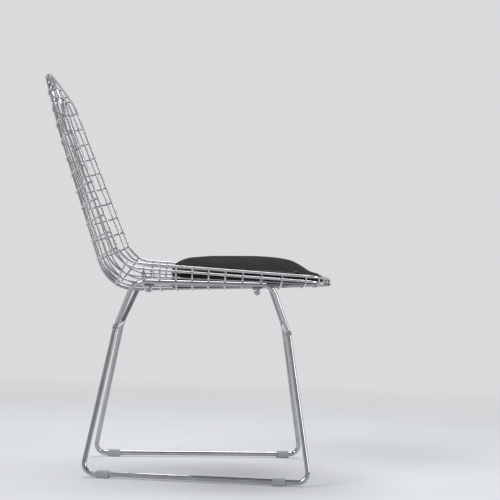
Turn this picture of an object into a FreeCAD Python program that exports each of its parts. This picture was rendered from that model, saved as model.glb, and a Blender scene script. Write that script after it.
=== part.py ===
import FreeCAD, Part
import Sketcher
import os
from math import acos, cos, pi, radians, sin, sqrt, tan
from FreeCAD import Placement, Rotation, Vector

# A wire mesh chair: a welded shell of bright round wire on bent rods, with a loose pad in its seat.
# +X is the front of the chair, +Y its left side and +Z up. The origin lies on the floor under the middle
# of the overall length and width. All sizes are millimetres and degrees.

SIZES = [
    # Rods of the base
    ("rod_diameter", 10.0, "round rod of the sleds, the saddles and the knee rods"),
    ("rod_fit", 0.05, "seam between a rod and what is coped to it"),
    ("skid_forward", 35.5, "middle of the skids, forward of the origin"),
    ("skid_length", 455.0, "skid, corner to corner"),
    ("skid_rear_spread", 364.0, "between the skids at their rear corners"),
    ("skid_front_spread", 500.0, "between the skids at their front corners"),
    ("skid_bend_radius", 20.0, "bend from skid to leg"),
    ("knee_height", 300.0, "axis of the knee rods above the floor"),
    ("knee_length", 352.0, "rear knee rod to front knee rod"),
    ("knee_forward", 40.0, "middle of the knee rods, forward of the origin"),
    ("knee_rear_spread", 244.0, "between the legs at the rear knee rod"),
    ("knee_front_spread", 380.0, "between the legs at the front knee rod"),
    ("knee_overhang", 9.0, "knee rod past the axis of its legs"),
    ("rail_length", 276.0, "rail of the saddle, corner to corner"),
    ("rail_forward", 41.5, "middle of the rails, forward of the origin"),
    ("rail_height", 396.0, "axis of the rails above the floor"),
    ("rail_inset", 9.0, "rails inside the sides of the outer rim"),
    ("rail_bend_radius", 30.0, "bend from rail to upper leg"),
    ("rod_end_rounding", 1.0, "edges of the knee rods"),
    # Glides
    ("glide_length", 26.0, "glide along the skid"),
    ("glide_width", 17.0, "glide across the skid"),
    ("glide_height", 14.2, "glide from the floor"),
    ("glide_sole", 3.0, "plastic under the rod"),
    ("glide_rounding", 1.5, "upright and upper edges of the glide"),
    ("glide_fit", 0.05, "round the rod in the glide"),
    ("glide_slot", 4.0, "snap slot along the top of the glide"),
    ("glide_rear_inset", 43.0, "rear glides from the rear corner of the skid"),
    ("right_glide_inset", 61.0, "front right glide from the front corner of the skid"),
    ("left_glide_inset", 39.5, "front left glide from the front corner of the skid"),
    # Wires of the shell
    ("rim_diameter", 5.0, "outer rim wire"),
    ("inner_diameter", 4.5, "inner rim wire"),
    ("mesh_diameter", 3.6, "long and cross wires"),
    ("weld_bite", 0.1, "how far welded wires sink into each other"),
    ("shell_width", 430.0, "outer rim, side to side"),
    ("rim_gap", 10.0, "outer rim to inner rim at the sides"),
    ("front_gap", 7.5, "outer rim to inner rim at the front edge"),
    ("top_gap", 5.0, "outer rim to inner rim at the top"),
    ("rim_inset", 3.0, "inner rim inside the outer rim"),
    ("side_gap", 36.0, "last long wire on each side to the side of the inner rim"),
    ("hook_reach", 5.0, "wire past the inner rim before it turns to the outer rim"),
    # Side view of the outer rim
    ("rim_corner_back", 118.8, "where seat and back lines of the rim meet, behind the origin"),
    ("rim_corner_rise", 37.7, "the same point above the rails"),
    ("rim_fall", 2.77, "degrees that the seat line of the rim falls to the front"),
    ("rim_lean", 22.73, "degrees that the back line of the rim leans"),
    ("rim_bend_radius", 58.0, "bend of the rim between seat and back"),
    # Side view of the middle long wire
    ("dish_corner_behind", 41.2, "where its seat and back lines meet, behind the corner of the rim"),
    ("dish_corner_depth", 62.7, "the same point below the corner of the rim"),
    ("dish_bend_radius", 80.0, "its bend between seat and back"),
    ("dish_rise_inset", 117.5, "where its seat line turns up to the front edge, behind that edge"),
    ("dish_rise_depth", 31.57, "the same point below the seat line of the rim"),
    ("dish_turn_drop", 125.0, "where its back line turns up to the top, below the top"),
    ("dish_turn_depth", 39.0, "the same point behind the back line of the rim"),
    ("soft_bend_radius", 500.0, "both of these gentle turns"),
    # Front edge and top edge of the outer rim
    ("front_reach", 303.0, "front edge, forward of the origin"),
    ("front_drop", 6.81, "middle of the front edge below the seat line of the rim"),
    ("front_end_inset", 65.0, "ends of the bowed front edge inside the sides of the rim"),
    ("front_bow", 7.0, "bow of the front edge, seen from above"),
    ("front_sag", 4.0, "sag of the front edge, seen from the front"),
    ("front_corner", 59.5, "where the sides begin to turn in, behind the front edge"),
    ("top_rise", 387.8, "top of the rim above the corner of the rim"),
    ("top_overhang", 12.0, "top of the rim behind its back line"),
    ("arch_overhang", 6.0, "ends of the bowed top edge behind the back line"),
    ("arch_end_inset", 110.0, "ends of the bowed top edge inside the sides of the rim"),
    ("arch_bow", 24.0, "bow of the top edge"),
    ("arch_drop", 85.0, "where the sides begin to turn in, below the top"),
    # Cross wires
    ("first_cross", 5.0, "first cross wire of the seat, forward of the bend"),
    ("seat_pitch_growth", 15.0, "last step between cross wires of the seat, longer than the first by"),
    ("front_pitch", 26.0, "last full cross wire to the short one at the front edge"),
    ("front_wire_gap", 30.32, "short cross wire to the front edge"),
    ("top_wire_gap", 38.27, "last cross wire of the back to the top, along the back"),
    # Straps that hold the shell to the rails
    ("strap_thickness", 2.0, "strap over a cross wire"),
    ("strap_width", 7.0, "strap along the cross wire"),
    ("strap_fit", 0.15, "round the wire in the strap"),
    # Brackets under the rails: a flat foot and a round-ended lug
    ("foot_length", 20.0, "foot along the rail"),
    ("foot_width", 8.0, "foot across the rail"),
    ("foot_thickness", 2.5, "foot below the rail"),
    ("lug_width", 11.0, "lug along the rail"),
    ("lug_thickness", 3.0, "lug across the rail"),
    ("front_bracket_inset", 29.0, "front brackets behind the front corner of the rail"),
    ("rear_bracket_inset", 30.5, "rear brackets forward of the rear corner of the rail"),
    ("screw_diameter", 5.0, "screw through the lug"),
    ("screw_fit", 0.1, "round the screw in the lug"),
    ("screw_drop", 14.5, "screw axis below the axis of the rail"),
    ("screw_inside", 5.0, "screw past the inner side of the lug"),
    ("head_diameter", 13.0, "round head of the screw"),
    ("head_height", 4.5, "round head of the screw"),
    ("head_rounding", 2.5, "outer edge of the head"),
    # Pad
    ("pad_rear", 92.8, "rear edge of the pad, forward of the corner of the rim"),
    ("pad_front_inset", 14.0, "front edge of the pad behind the front edge of the rim"),
    ("pad_side_inset", 19.0, "pad inside the sides of the outer rim"),
    ("pad_taper", 0.24, "how much narrower the pad is at its front and rear ends"),
    ("pad_crown_rise", 17.3, "top of the pad above the corner of the rim"),
    ("pad_rear_drop", 20.0, "rear edge of the top below the crown"),
    ("pad_front_drop", 34.0, "front edge of the top below the crown"),
    ("pad_edge", 9.0, "drawn-in edge of the pad"),
    ("pad_clearance", 0.5, "pad above the wires it lies on"),
]

LONG_WIRES_EACH_SIDE = 5
SEAT_STEPS = 9
BACK_CROSS_WIRES = 12

doc = FreeCAD.newDocument("wire_chair")
sheet = doc.addObject("Spreadsheet::Sheet", "Sizes")
for row, (alias, size, meaning) in enumerate(SIZES, start=1):
    sheet.set("A%d" % row, meaning)
    sheet.set("B%d" % row, str(size))
    sheet.setAlias("B%d" % row, alias)
doc.recompute()


class Values:
    """The sizes, read back from the sheet by name."""

    def __getattr__(self, alias):
        return float(sheet.get(alias))


v = Values()
nodes = []

ROD = v.rod_diameter / 2
RIM = v.rim_diameter / 2
INNER = v.inner_diameter / 2
MESH = v.mesh_diameter / 2
SIDE = v.shell_width / 2
RAIL_SIDE = SIDE - v.rail_inset
WIRE_PITCH = (SIDE - v.rim_inset - v.side_gap) / LONG_WIRES_EACH_SIDE

# Distances between the axes of two wires that are welded together
MESH_TO_MESH = 2 * MESH - v.weld_bite
MESH_TO_INNER = MESH + INNER - v.weld_bite


# Paths

# A bend of fewer radians than this is drawn as a straight run
STRAIGHT = 0.0001


def corner_arc(start, corner, end):
    """Arc from start to end, which lie equally far from the corner, tangent to both sides."""
    middle = (start + end) / 2
    reach = (start - corner).Length
    half_turn = pi / 2 - acos(min(1.0, (middle - corner).Length / reach))
    if half_turn < STRAIGHT:
        return Part.LineSegment(start, end).toShape()
    radius = reach / tan(half_turn)
    rise = radius / cos(half_turn) - radius
    top = corner + (middle - corner).normalize() * rise
    return Part.Arc(start, top, end).toShape()


def rounded_path(points, radii):
    """Straight runs through the points, joined by tangent arcs of the given radii."""
    edges = []
    last = points[0]
    for before, corner, after, radius in zip(points, points[1:], points[2:], radii):
        arriving = (corner - before).normalize()
        leaving = (after - corner).normalize()
        reach = radius * tan(arriving.getAngle(leaving) / 2)
        start = corner - arriving * reach
        end = corner + leaving * reach
        edges.append(Part.LineSegment(last, start).toShape())
        edges.append(corner_arc(start, corner, end))
        last = end
    edges.append(Part.LineSegment(last, points[-1]).toShape())
    return edges


def two_arcs(start, leaving, end, arriving):
    """Two tangent arcs from one point and direction to another."""
    chord = end - start
    spread = 2 * (1 - leaving.dot(arriving))
    slope = 2 * chord.dot(leaving + arriving)
    reach = (-slope + sqrt(slope * slope + 4 * spread * chord.dot(chord))) / (2 * spread)
    first = start + leaving * reach
    second = end - arriving * reach
    joint = (first + second) / 2
    return [corner_arc(start, first, joint), corner_arc(joint, second, end)]


def half_bow(middle, end):
    """Arc from the middle of a bowed edge to its end on the left; the edge is the same on the right."""
    right_end = Vector(end.x, -end.y, end.z)
    centre = Part.Arc(right_end, middle, end).toShape().Curve.Center
    between = ((middle + end) / 2 - centre).normalize() * (end - centre).Length + centre
    return Part.Arc(middle, between, end).toShape()


def tangent_at_end(edge):
    return edge.tangentAt(edge.LastParameter)


def reversed_arc(edge):
    """The same arc, run the other way."""
    start = edge.valueAt(edge.LastParameter)
    middle = edge.valueAt((edge.FirstParameter + edge.LastParameter) / 2)
    end = edge.valueAt(edge.FirstParameter)
    return Part.Arc(start, middle, end).toShape()


def crossing(edges, height_above):
    """Where a path first passes the surface on which height_above is zero, and its direction there."""
    steps = 16
    for edge in edges:
        low = edge.FirstParameter
        span = (edge.LastParameter - low) / steps
        for step in range(steps):
            a = low + span * step
            b = a + span
            side = height_above(edge.valueAt(a))
            if side * height_above(edge.valueAt(b)) > 0:
                continue
            for _ in range(40):
                middle = (a + b) / 2
                if side * height_above(edge.valueAt(middle)) > 0:
                    a = middle
                else:
                    b = middle
            return edge.valueAt(a), edge.tangentAt(a)
    return None


def meeting(a, direction_a, b, direction_b):
    """Where two lines of one side view cross."""
    across = direction_a.x * direction_b.z - direction_a.z * direction_b.x
    along = ((b.x - a.x) * direction_b.z - (b.z - a.z) * direction_b.x) / across
    return a + direction_a * along


def opposite(point):
    return Vector(point.x, -point.y, point.z)


def mix(a, b, share):
    return a + (b - a) * share


# Objects

def finished(thing, label):
    thing.Label = label
    nodes.append(thing)
    return thing


def swept_bar(label, edges, diameter_alias):
    """A round bar along a path; path and section are objects, and the section has its size bound."""
    path = doc.addObject("Part::Feature", label + "_path")
    path.Shape = Part.Wire(edges)
    section = doc.addObject("Part::Circle", label + "_section")
    section.setExpression("Radius", "Sizes.%s / 2" % diameter_alias)
    first = edges[0]
    start = first.valueAt(first.FirstParameter)
    section.Placement = Placement(start, Rotation(Vector(0, 0, 1), first.tangentAt(first.FirstParameter)))
    bar = doc.addObject("Part::Sweep", label + "_bar")
    bar.Sections = [section]
    bar.Spine = (path, [])
    bar.Solid = True
    bar.Frenet = False
    return bar


def bar_shape(edges, radius):
    first = edges[0]
    start = first.valueAt(first.FirstParameter)
    circle = Part.Circle(start, first.tangentAt(first.FirstParameter), radius).toShape()
    return Part.Wire(edges).makePipeShell([Part.Wire([circle])], True, False)


# Base

skid_height = v.glide_sole + v.glide_fit + ROD
skid_rear_x = v.skid_forward - v.skid_length / 2
skid_front_x = v.skid_forward + v.skid_length / 2
knee_rear_x = v.knee_forward - v.knee_length / 2
knee_front_x = v.knee_forward + v.knee_length / 2
rail_rear_x = v.rail_forward - v.rail_length / 2
rail_front_x = v.rail_forward + v.rail_length / 2

knee_cutters = {}
for end, x, spread_alias in (
    ("rear", knee_rear_x, "knee_rear_spread"),
    ("front", knee_front_x, "knee_front_spread"),
):
    rod = doc.addObject("Part::Cylinder", end + "_knee_bar")
    rod.setExpression("Radius", "Sizes.rod_diameter / 2")
    rod.setExpression("Height", "Sizes.%s + 2 * Sizes.knee_overhang" % spread_alias)
    half = getattr(v, spread_alias) / 2 + v.knee_overhang
    rod.Placement = Placement(Vector(x, half, v.knee_height), Rotation(Vector(1, 0, 0), 90))
    doc.recompute()
    rounded = doc.addObject("Part::Fillet", end + "_knee_rod")
    rounded.Base = rod
    rounded.Edges = [
        (number, v.rod_end_rounding, v.rod_end_rounding)
        for number, edge in enumerate(rod.Shape.Edges, start=1) if edge.isClosed()
    ]
    finished(rounded, end + "_knee_rod")
    cutter = doc.addObject("Part::Cylinder", end + "_knee_seam")
    cutter.setExpression("Radius", "Sizes.rod_diameter / 2 + Sizes.rod_fit")
    cutter.setExpression("Height", "Sizes.%s + 2 * Sizes.knee_overhang" % spread_alias)
    cutter.Placement = rod.Placement
    knee_cutters[end] = cutter

seams = doc.addObject("Part::MultiFuse", "knee_seams")
seams.Shapes = [knee_cutters["rear"], knee_cutters["front"]]

rail_paths = {}
skid_corners = {}
for side, sign in (("left", 1), ("right", -1)):
    knee_rear = Vector(knee_rear_x, sign * v.knee_rear_spread / 2, v.knee_height)
    knee_front = Vector(knee_front_x, sign * v.knee_front_spread / 2, v.knee_height)
    skid_rear = Vector(skid_rear_x, sign * v.skid_rear_spread / 2, skid_height)
    skid_front = Vector(skid_front_x, sign * v.skid_front_spread / 2, skid_height)
    rail_rear = Vector(rail_rear_x, sign * RAIL_SIDE, v.rail_height)
    rail_front = Vector(rail_front_x, sign * RAIL_SIDE, v.rail_height)
    skid_corners[side] = (skid_rear, skid_front)
    sled_path = rounded_path([knee_rear, skid_rear, skid_front, knee_front], [v.skid_bend_radius] * 2)
    saddle_path = rounded_path([knee_rear, rail_rear, rail_front, knee_front], [v.rail_bend_radius] * 2)
    rail_paths[side] = saddle_path
    for name, path in (("sled", sled_path), ("saddle", saddle_path)):
        coped = doc.addObject("Part::Cut", "%s_%s_rod" % (side, name))
        coped.Base = swept_bar("%s_%s" % (side, name), path, "rod_diameter")
        coped.Tool = seams
        finished(coped, "%s_%s_rod" % (side, name))


# Glides: each is drawn round its own middle on the floor, with the skid along X

def glide(label, middle, along):
    body = doc.addObject("PartDesign::Body", label)
    planes = {feature.Role: feature for feature in body.Origin.OriginFeatures}

    outline = body.newObject("Sketcher::SketchObject", label + "_outline")
    outline.AttachmentSupport = [(planes["XY_Plane"], "")]
    outline.MapMode = "FlatFace"
    rectangle(outline, "Sizes.glide_length", "Sizes.glide_width", v.glide_length, v.glide_width)
    block = body.newObject("PartDesign::Pad", label + "_block")
    block.Profile = outline
    block.setExpression("Length", "Sizes.glide_height")
    doc.recompute()

    soft_edges = []
    for number, edge in enumerate(block.Shape.Edges, start=1):
        if edge.BoundBox.ZMax > v.glide_height / 2:
            soft_edges.append("Edge%d" % number)
    rounding = body.newObject("PartDesign::Fillet", label + "_rounding")
    rounding.Base = (block, soft_edges)
    rounding.setExpression("Radius", "Sizes.glide_rounding")

    bore = body.newObject("Sketcher::SketchObject", label + "_bore_outline")
    bore.AttachmentSupport = [(planes["YZ_Plane"], "")]
    bore.MapMode = "FlatFace"
    bore.addGeometry(Part.Circle(Vector(0, skid_height, 0), Vector(0, 0, 1), ROD + v.glide_fit), False)
    radius = bore.addConstraint(Sketcher.Constraint("Radius", 0, ROD + v.glide_fit))
    height = bore.addConstraint(Sketcher.Constraint("DistanceY", -1, 1, 0, 3, skid_height))
    bore.addConstraint(Sketcher.Constraint("PointOnObject", 0, 3, -2))
    bore.setExpression("Constraints[%d]" % radius, "Sizes.rod_diameter / 2 + Sizes.glide_fit")
    bore.setExpression(
        "Constraints[%d]" % height, "Sizes.glide_sole + Sizes.glide_fit + Sizes.rod_diameter / 2"
    )
    through = body.newObject("PartDesign::Pocket", label + "_bore")
    through.Profile = bore
    through.Type = "ThroughAll"
    through.Midplane = True
    before = v.glide_length * v.glide_width * v.glide_height

    slot = body.newObject("Sketcher::SketchObject", label + "_slot_outline")
    slot.AttachmentSupport = [(planes["XY_Plane"], "")]
    slot.MapMode = "FlatFace"
    rectangle(slot, "Sizes.glide_length * 2", "Sizes.glide_slot", v.glide_length * 2, v.glide_slot)
    slot.AttachmentOffset = Placement(Vector(0, 0, v.glide_height), Rotation())
    slot.setExpression("AttachmentOffset.Base.z", "Sizes.glide_height")
    snap = body.newObject("PartDesign::Pocket", label + "_slot")
    snap.Profile = slot
    snap.setExpression("Length", "Sizes.glide_height - Sizes.glide_sole - Sizes.rod_diameter / 2")
    doc.recompute()
    if snap.Shape.Volume > before - 0.9 * pi * ROD * ROD * v.glide_length:
        raise ValueError("the bore of %s is missing" % label)

    turn = Rotation(Vector(1, 0, 0), Vector(along.x, along.y, 0))
    body.Placement = Placement(Vector(middle.x, middle.y, 0), turn)
    body.Tip = snap
    finished(body, label)


def rectangle(sketch, length_formula, width_formula, length, width):
    """A rectangle round the origin of its sketch, with its two sizes bound."""
    x = length / 2
    y = width / 2
    corners = [Vector(-x, -y, 0), Vector(x, -y, 0), Vector(x, y, 0), Vector(-x, y, 0)]
    for a, b in zip(corners, corners[1:] + corners[:1]):
        sketch.addGeometry(Part.LineSegment(a, b), False)
    for line in range(4):
        sketch.addConstraint(Sketcher.Constraint("Coincident", line, 2, (line + 1) % 4, 1))
    sketch.addConstraint(Sketcher.Constraint("Horizontal", 0))
    sketch.addConstraint(Sketcher.Constraint("Horizontal", 2))
    sketch.addConstraint(Sketcher.Constraint("Vertical", 1))
    sketch.addConstraint(Sketcher.Constraint("Vertical", 3))
    sketch.addConstraint(Sketcher.Constraint("Symmetric", 0, 1, 1, 2, -1, 1))
    wide = sketch.addConstraint(Sketcher.Constraint("DistanceX", 0, 1, 0, 2, length))
    deep = sketch.addConstraint(Sketcher.Constraint("DistanceY", 1, 1, 1, 2, width))
    sketch.setExpression("Constraints[%d]" % wide, length_formula)
    sketch.setExpression("Constraints[%d]" % deep, width_formula)


for side in ("left", "right"):
    skid_rear, skid_front = skid_corners[side]
    along = (skid_front - skid_rear).normalize()
    front_inset = v.left_glide_inset if side == "left" else v.right_glide_inset
    glide("rear_%s_glide" % side, skid_rear + along * v.glide_rear_inset, along)
    glide("front_%s_glide" % side, skid_front - along * front_inset, along)


# Rims

SEAT = Vector(cos(radians(v.rim_fall)), 0, -sin(radians(v.rim_fall)))
BACK = Vector(-sin(radians(v.rim_lean)), 0, cos(radians(v.rim_lean)))
UNDER_SEAT = Vector(SEAT.z, 0, -SEAT.x)
BEHIND_BACK = Vector(-BACK.z, 0, BACK.x)
RIM_CORNER = Vector(-v.rim_corner_back, 0, v.rail_height + v.rim_corner_rise)
TOP_HEIGHT = RIM_CORNER.z + v.top_rise


def on_seat_line(x):
    """Point of the rim's seat line, at a distance forward of the origin."""
    return RIM_CORNER + SEAT * ((x - RIM_CORNER.x) / SEAT.x)


def on_back_line(height):
    """Point of the rim's back line, at a height above the floor."""
    return RIM_CORNER + BACK * ((height - RIM_CORNER.z) / BACK.z)


def rim_corner(gap):
    """Where the seat and back lines meet, on a line that runs outside the outer rim by the gap."""
    return meeting(RIM_CORNER + UNDER_SEAT * gap, SEAT, RIM_CORNER + BEHIND_BACK * gap, BACK)


def rim_half(gap, front_gap, top_gap, inset):
    """Left half of a rim, from the middle of the front edge to the middle of the top."""
    corner = rim_corner(gap)
    side = Vector(0, SIDE - inset, 0)
    edge_height = on_seat_line(v.front_reach).z - v.front_drop
    front = Vector(v.front_reach - inset, 0, edge_height - front_gap)
    front_end = Vector(front.x - v.front_bow, SIDE - v.front_end_inset - inset, 0)
    front_end.z = edge_height + v.front_sag - (gap + front_gap) / 2
    side_front = corner + SEAT * ((v.front_reach - v.front_corner - corner.x) / SEAT.x) + side

    summit = on_back_line(TOP_HEIGHT) - Vector(v.top_overhang, 0, 0)
    top = summit + BEHIND_BACK * top_gap - BACK * inset
    top_end = on_back_line(TOP_HEIGHT) - Vector(v.arch_overhang, 0, 0)
    top_end = top_end + BEHIND_BACK * ((gap + top_gap) / 2) - BACK * (v.arch_bow + inset)
    top_end.y = SIDE - v.arch_end_inset - inset
    side_top = corner + BACK * ((TOP_HEIGHT - v.arch_drop - corner.z) / BACK.z) + side

    front_arc = half_bow(front, front_end)
    top_arc = reversed_arc(half_bow(top, top_end))
    top_arriving = top_arc.tangentAt(top_arc.FirstParameter)
    edges = [front_arc]
    edges += two_arcs(front_end, tangent_at_end(front_arc), side_front, SEAT * -1)
    edges += rounded_path([side_front, corner + side, side_top], [v.rim_bend_radius + gap])
    edges += two_arcs(side_top, BACK, top_end, top_arriving)
    edges.append(top_arc)
    return edges


def rim(label, edges, diameter_alias):
    left = swept_bar(label + "_left", edges, diameter_alias)
    right = doc.addObject("Part::Mirroring", label + "_right")
    right.Source = left
    right.Normal = Vector(0, 1, 0)
    whole = doc.addObject("Part::Fuse", label)
    whole.Base = left
    whole.Tool = right
    whole.Refine = True
    finished(whole, label)


outer_half = rim_half(0, 0, 0, 0)
inner_half = rim_half(v.rim_gap, v.front_gap, v.top_gap, v.rim_inset)
rim("outer_rim", outer_half, "rim_diameter")
rim("inner_rim", inner_half, "inner_diameter")


# Long wires, each in an upright plane

WIRE_CORNER = rim_corner(v.rim_gap)
DISH_CORNER = RIM_CORNER - Vector(v.dish_corner_behind, 0, v.dish_corner_depth)
DISH_RISE = on_seat_line(v.front_reach - v.dish_rise_inset) - Vector(0, 0, v.dish_rise_depth)
DISH_TURN = on_back_line(TOP_HEIGHT - v.dish_turn_drop) - Vector(v.dish_turn_depth, 0, 0)
WIRE_RISE = WIRE_CORNER + SEAT * ((DISH_RISE.x - WIRE_CORNER.x) / SEAT.x)
WIRE_TURN = WIRE_CORNER + BACK * (DISH_TURN - WIRE_CORNER).dot(BACK)

section_depth = (DISH_CORNER - WIRE_CORNER).Length * 2 / 3
section_half = SIDE - v.rim_inset
section_radius = (section_half ** 2 + section_depth ** 2) / (2 * section_depth)


def depth_share(y):
    """Depth of the dish beside its middle, as a share of the depth in the middle: a flat circular arc."""
    return 1 - (section_radius - sqrt(section_radius ** 2 - y * y)) / section_depth


def hook(came_from, inner, outer, outward, plane_normal):
    """How a wire that lies in a plane passes outside the inner rim and turns to the outer rim.

    The rims are given as a point in the plane and the direction of the rim there. The answer is the
    point beside the inner rim, the corner past it and the end on the outer rim.
    """
    inner_point, inner_direction = inner
    outer_point, _ = outer
    passing = inner_point + outward * MESH_TO_INNER
    for _ in range(6):
        heading = (passing - came_from).normalize()
        away = heading.cross(inner_direction).normalize()
        if away.dot(outward) < 0:
            away = away * -1
        passing = inner_point + away * MESH_TO_INNER
        slide = (passing - inner_point).dot(plane_normal) / inner_direction.dot(plane_normal)
        passing = passing - inner_direction * slide
    turn = passing + (passing - came_from).normalize() * v.hook_reach
    end = outer_point + (turn - outer_point).normalize() * (RIM - v.weld_bite)
    return passing, turn, end


def hook_radius(before, corner, after):
    """The largest bend that leaves the wire straight where it passes the inner rim."""
    turn = (corner - before).getAngle(after - corner)
    return 0.8 * v.hook_reach / tan(turn / 2)


def long_wire_path(y):
    share = depth_share(y)
    across = Vector(0, y, 0)
    rise = mix(WIRE_RISE, DISH_RISE, share) + across
    corner = mix(WIRE_CORNER, DISH_CORNER, share) + across
    turn = mix(WIRE_TURN, DISH_TURN, share) + across
    radius = mix(v.rim_bend_radius + v.rim_gap, v.dish_bend_radius, share)

    def beside(point):
        return point.y - abs(y) - 1e-7

    def at_end(edges, middle_point):
        if y == 0:
            return middle_point, Vector(0, 1, 0)
        point, direction = crossing(edges, beside)
        if y < 0:
            return opposite(point), opposite(direction)
        return point, direction

    upright = Vector(0, 1, 0)
    halves = (inner_half, outer_half)
    fronts = [at_end(half[:3], half[0].valueAt(half[0].FirstParameter)) for half in halves]
    tops = [at_end(half[-3:], half[-1].valueAt(half[-1].LastParameter)) for half in halves]
    _, front, front_end = hook(rise, fronts[0], fronts[1], UNDER_SEAT, upright)
    _, top, top_end = hook(turn, tops[0], tops[1], BEHIND_BACK, upright)
    points = [front_end, front, rise, corner, turn, top, top_end]
    radii = [
        hook_radius(rise, front, front_end),
        v.soft_bend_radius,
        radius,
        v.soft_bend_radius,
        hook_radius(turn, top, top_end),
    ]
    return rounded_path(points, radii)


long_paths = {}
for number in range(-LONG_WIRES_EACH_SIDE, LONG_WIRES_EACH_SIDE + 1):
    label = "long_wire_%02d" % (number + LONG_WIRES_EACH_SIDE + 1)
    path = long_wire_path(number * WIRE_PITCH)
    finished(swept_bar(label, path, "mesh_diameter"), label)
    long_paths[number] = path


# Cross wires, each in a plane square to the rims at its place

station_radius = v.rim_bend_radius + v.rim_gap / 2
station_corner = rim_corner(v.rim_gap / 2)
whole_turn = BACK.getAngle(SEAT * -1)
bend_start = station_corner + SEAT * (station_radius * tan(whole_turn / 2))
bend_centre = bend_start - UNDER_SEAT * station_radius


def station(distance):
    """Point between the rims and outward direction there, at a distance from the bend, forward negative."""
    if distance <= 0:
        return bend_start - SEAT * distance, UNDER_SEAT
    turned = distance / station_radius
    if turned < whole_turn:
        outward = UNDER_SEAT * cos(turned) - SEAT * sin(turned)
        return bend_centre + outward * station_radius, outward
    past = distance - whole_turn * station_radius
    return bend_centre + BEHIND_BACK * station_radius + BACK * past, BEHIND_BACK


def cross_wire_path(place, outward):
    """Path of a cross wire: it touches each long wire from outside and ends in a hook on both sides."""
    along = Vector(outward.z, 0, -outward.x)

    def ahead(point):
        return (point - place).dot(along)

    inner = crossing(inner_half, ahead)
    outer = crossing(outer_half, ahead)
    touched = []
    for number in range(LONG_WIRES_EACH_SIDE + 1):
        met = crossing(long_paths[number][2:-2], ahead)
        if met and met[0].y < inner[0].y - WIRE_PITCH / 3:
            touched.append(met[0])

    # Step outward from the long wires, square to the run of the cross wire
    points = []
    for number, point in enumerate(touched):
        before = touched[number - 1] if number else opposite(touched[1])
        after = touched[number + 1] if number + 1 < len(touched) else inner[0]
        run = (after - before).normalize()
        points.append(point + (outward - run * outward.dot(run)).normalize() * MESH_TO_MESH)
    passing, turn, end = hook(points[-1], inner, outer, outward, along)
    points.append(passing)

    directions = [Vector(0, 1, 0)]
    for before, after in zip(points, points[2:]):
        directions.append((after - before).normalize())
    directions.append((turn - passing).normalize())

    left = []
    for number in range(len(points) - 1):
        start, end_point = points[number:number + 2]
        leaving, arriving = directions[number:number + 2]
        left += two_arcs(start, leaving, end_point, arriving)
    left += rounded_path([passing, turn, end], [hook_radius(passing, turn, end)])
    right = [mirrored_edge(edge) for edge in reversed(left)]
    return right + left


def mirrored_edge(edge):
    """The same edge on the other side of the chair, run the other way."""
    first = opposite(edge.valueAt(edge.LastParameter))
    last = opposite(edge.valueAt(edge.FirstParameter))
    if edge.Curve.TypeId == "Part::GeomLine":
        return Part.LineSegment(first, last).toShape()
    middle = opposite(edge.valueAt((edge.FirstParameter + edge.LastParameter) / 2))
    return Part.Arc(first, middle, last).toShape()


seat_length = (v.front_reach - bend_start.x) / SEAT.x - v.first_cross - v.front_pitch - v.front_wire_gap
growth = [v.seat_pitch_growth * (step / (SEAT_STEPS - 1)) ** 4 for step in range(SEAT_STEPS)]
first_step = (seat_length - sum(growth)) / SEAT_STEPS
distances = [-v.first_cross]
for step in range(SEAT_STEPS):
    distances.append(distances[-1] - first_step - growth[step])
distances.append(distances[-1] - v.front_pitch)
seat_wires = len(distances)

bend_end = bend_centre + BEHIND_BACK * station_radius
back_length = whole_turn * station_radius + (TOP_HEIGHT - bend_end.z) / BACK.z - v.top_wire_gap
for step in range(BACK_CROSS_WIRES):
    distances.append(-v.first_cross + (back_length + v.first_cross) * (step + 1) / BACK_CROSS_WIRES)

cross_paths = []
for number, distance in enumerate(distances):
    part_of_shell = "seat" if number < seat_wires else "back"
    count = number + 1 if number < seat_wires else number + 1 - seat_wires
    label = "%s_cross_wire_%02d" % (part_of_shell, count)
    path = cross_wire_path(*station(distance))
    finished(swept_bar(label, path, "mesh_diameter"), label)
    cross_paths.append(path)


# Straps: each goes over a cross wire and stands on the rail below it with both legs

def strap(label, wire_path, side):
    wire = Part.Wire(wire_path)
    rail = Part.Wire(rail_paths[side][2:3])
    gap, pairs, _ = wire.distToShape(rail)
    on_wire, on_rail = pairs[0]
    down = (on_rail - on_wire).normalize()
    nearest = min(wire_path, key=lambda edge: edge.distToShape(Part.Vertex(on_wire))[0])
    along = nearest.tangentAt(nearest.Curve.parameter(on_wire))
    along = (along - down * along.dot(down)).normalize()
    across = down.cross(along)
    inner = MESH + v.strap_fit
    outer = inner + v.strap_thickness
    start = on_wire - along * (v.strap_width / 2)
    foot = down * gap

    def bridge(radius, leg):
        arch = Part.Arc(start - across * radius, start - down * radius, start + across * radius)
        legs = [
            Part.LineSegment(start + across * radius, start + across * radius + leg),
            Part.LineSegment(start + across * radius + leg, start - across * radius + leg),
            Part.LineSegment(start - across * radius + leg, start - across * radius),
        ]
        outline = Part.Wire([arch.toShape()] + [line.toShape() for line in legs])
        return Part.Face(outline).extrude(along * v.strap_width)

    solid = bridge(outer, foot).cut(bridge(inner, foot * 2))
    solid = solid.cut(bar_shape(rail_paths[side], ROD + v.rod_fit))
    piece = doc.addObject("Part::Feature", label)
    piece.Shape = solid
    piece.Placement = Placement()
    finished(piece, label)


bracket_places = {
    "front": rail_front_x - v.front_bracket_inset,
    "rear": rail_rear_x + v.rear_bracket_inset,
}
for side in ("left", "right"):
    for end, x in bracket_places.items():
        seat_places = [station(distance)[0] for distance in distances[:seat_wires]]
        nearest_wire = min(range(seat_wires), key=lambda number: abs(seat_places[number].x - x))
        strap("%s_%s_strap" % (end, side), cross_paths[nearest_wire], side)


# Brackets under the rails, each with a round-headed screw from outside

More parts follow.
